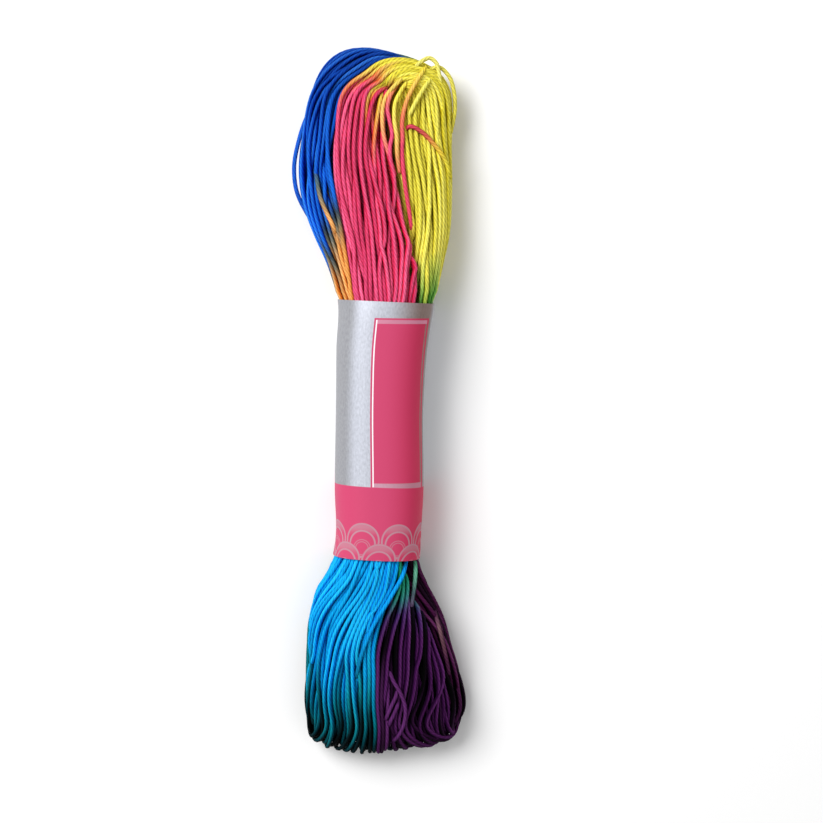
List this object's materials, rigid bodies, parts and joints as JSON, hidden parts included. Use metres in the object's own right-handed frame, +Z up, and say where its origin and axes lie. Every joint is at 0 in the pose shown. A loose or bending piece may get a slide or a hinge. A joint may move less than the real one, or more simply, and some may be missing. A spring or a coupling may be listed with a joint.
{
  "type": "thread skein",
  "caption": "Flat two-lobed skein of variegated sashiko cotton thread, wound as one loop and gripped at the waist by a printed paper band.",
  "frame": {"origin": "on the surface the skein lies on, under the middle of its outline box", "axes": "+X to the right across the face, +Y along the skein to the upper lobe, +Z up out of the face"},
  "size_m": [0.0327, 0.14, 0.0161],
  "materials": {
    "dyed_cotton": "variegated matt cotton thread, pink, blue, yellow, cyan, teal and purple in turn",
    "printed_paper": "pearly silver paper with a pink printed panel and foot"
  },
  "bodies": {
    "root": {"hank": "dyed_cotton", "paper_band": "printed_paper"}
  },
  "joints": []
}
